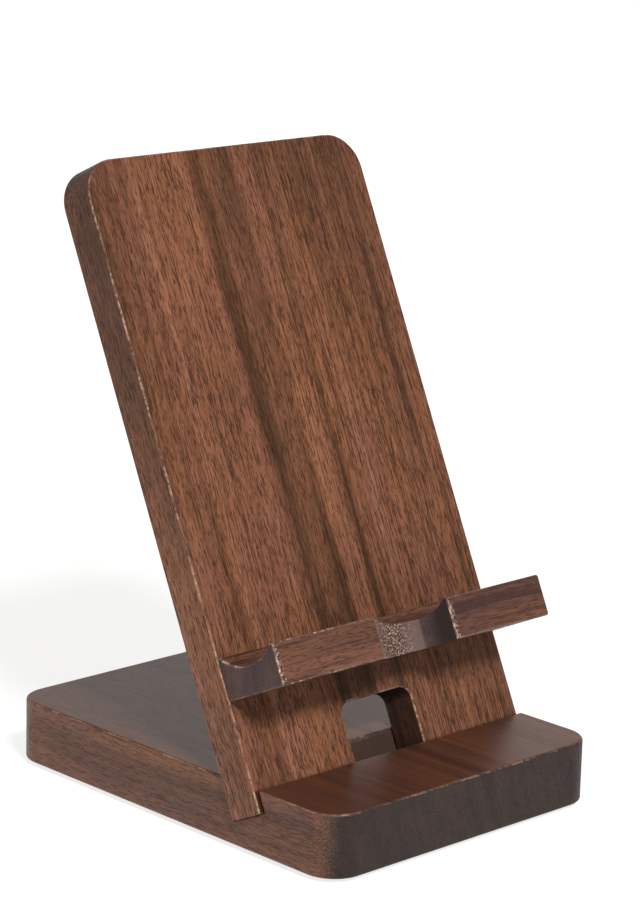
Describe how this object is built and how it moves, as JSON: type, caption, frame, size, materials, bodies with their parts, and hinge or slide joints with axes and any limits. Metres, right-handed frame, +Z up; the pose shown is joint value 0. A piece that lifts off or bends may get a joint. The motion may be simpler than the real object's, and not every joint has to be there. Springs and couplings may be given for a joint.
{
  "type": "phone stand",
  "caption": "Wooden desk stand for a phone: a leaning back panel with a coved, notched ledge, which drops into a housing in a flat base board.",
  "frame": {"origin": "centre of the base board's outline, on the plane that the four pads stand on", "axes": "+Z up, -Y towards the user and the phone's screen, +X to the user's right as they face the phone"},
  "size_m": [0.086, 0.11, 0.1469],
  "materials": {
    "base_walnut": "oiled walnut, satin, grain front to back",
    "panel_walnut": "oiled walnut, satin, grain along the slope",
    "ledge_walnut": "oiled walnut, satin, grain side to side",
    "dowel_wood": "plain beech, unfinished",
    "pad_rubber": "matt black rubber"
  },
  "bodies": {
    "base": {"base_board": "base_walnut", "pad_front_left": "pad_rubber", "pad_front_right": "pad_rubber", "pad_rear_left": "pad_rubber", "pad_rear_right": "pad_rubber"},
    "backrest": {"back_panel": "panel_walnut", "phone_ledge": "ledge_walnut", "ledge_dowel_left": "dowel_wood", "ledge_dowel_right": "dowel_wood"}
  },
  "joints": [
    {"name": "backrest_lift", "type": "slide", "parent": "base", "child": "backrest", "axis": [0, 0.4226, 0.9063], "range_m": [0, 0.01]}
  ]
}
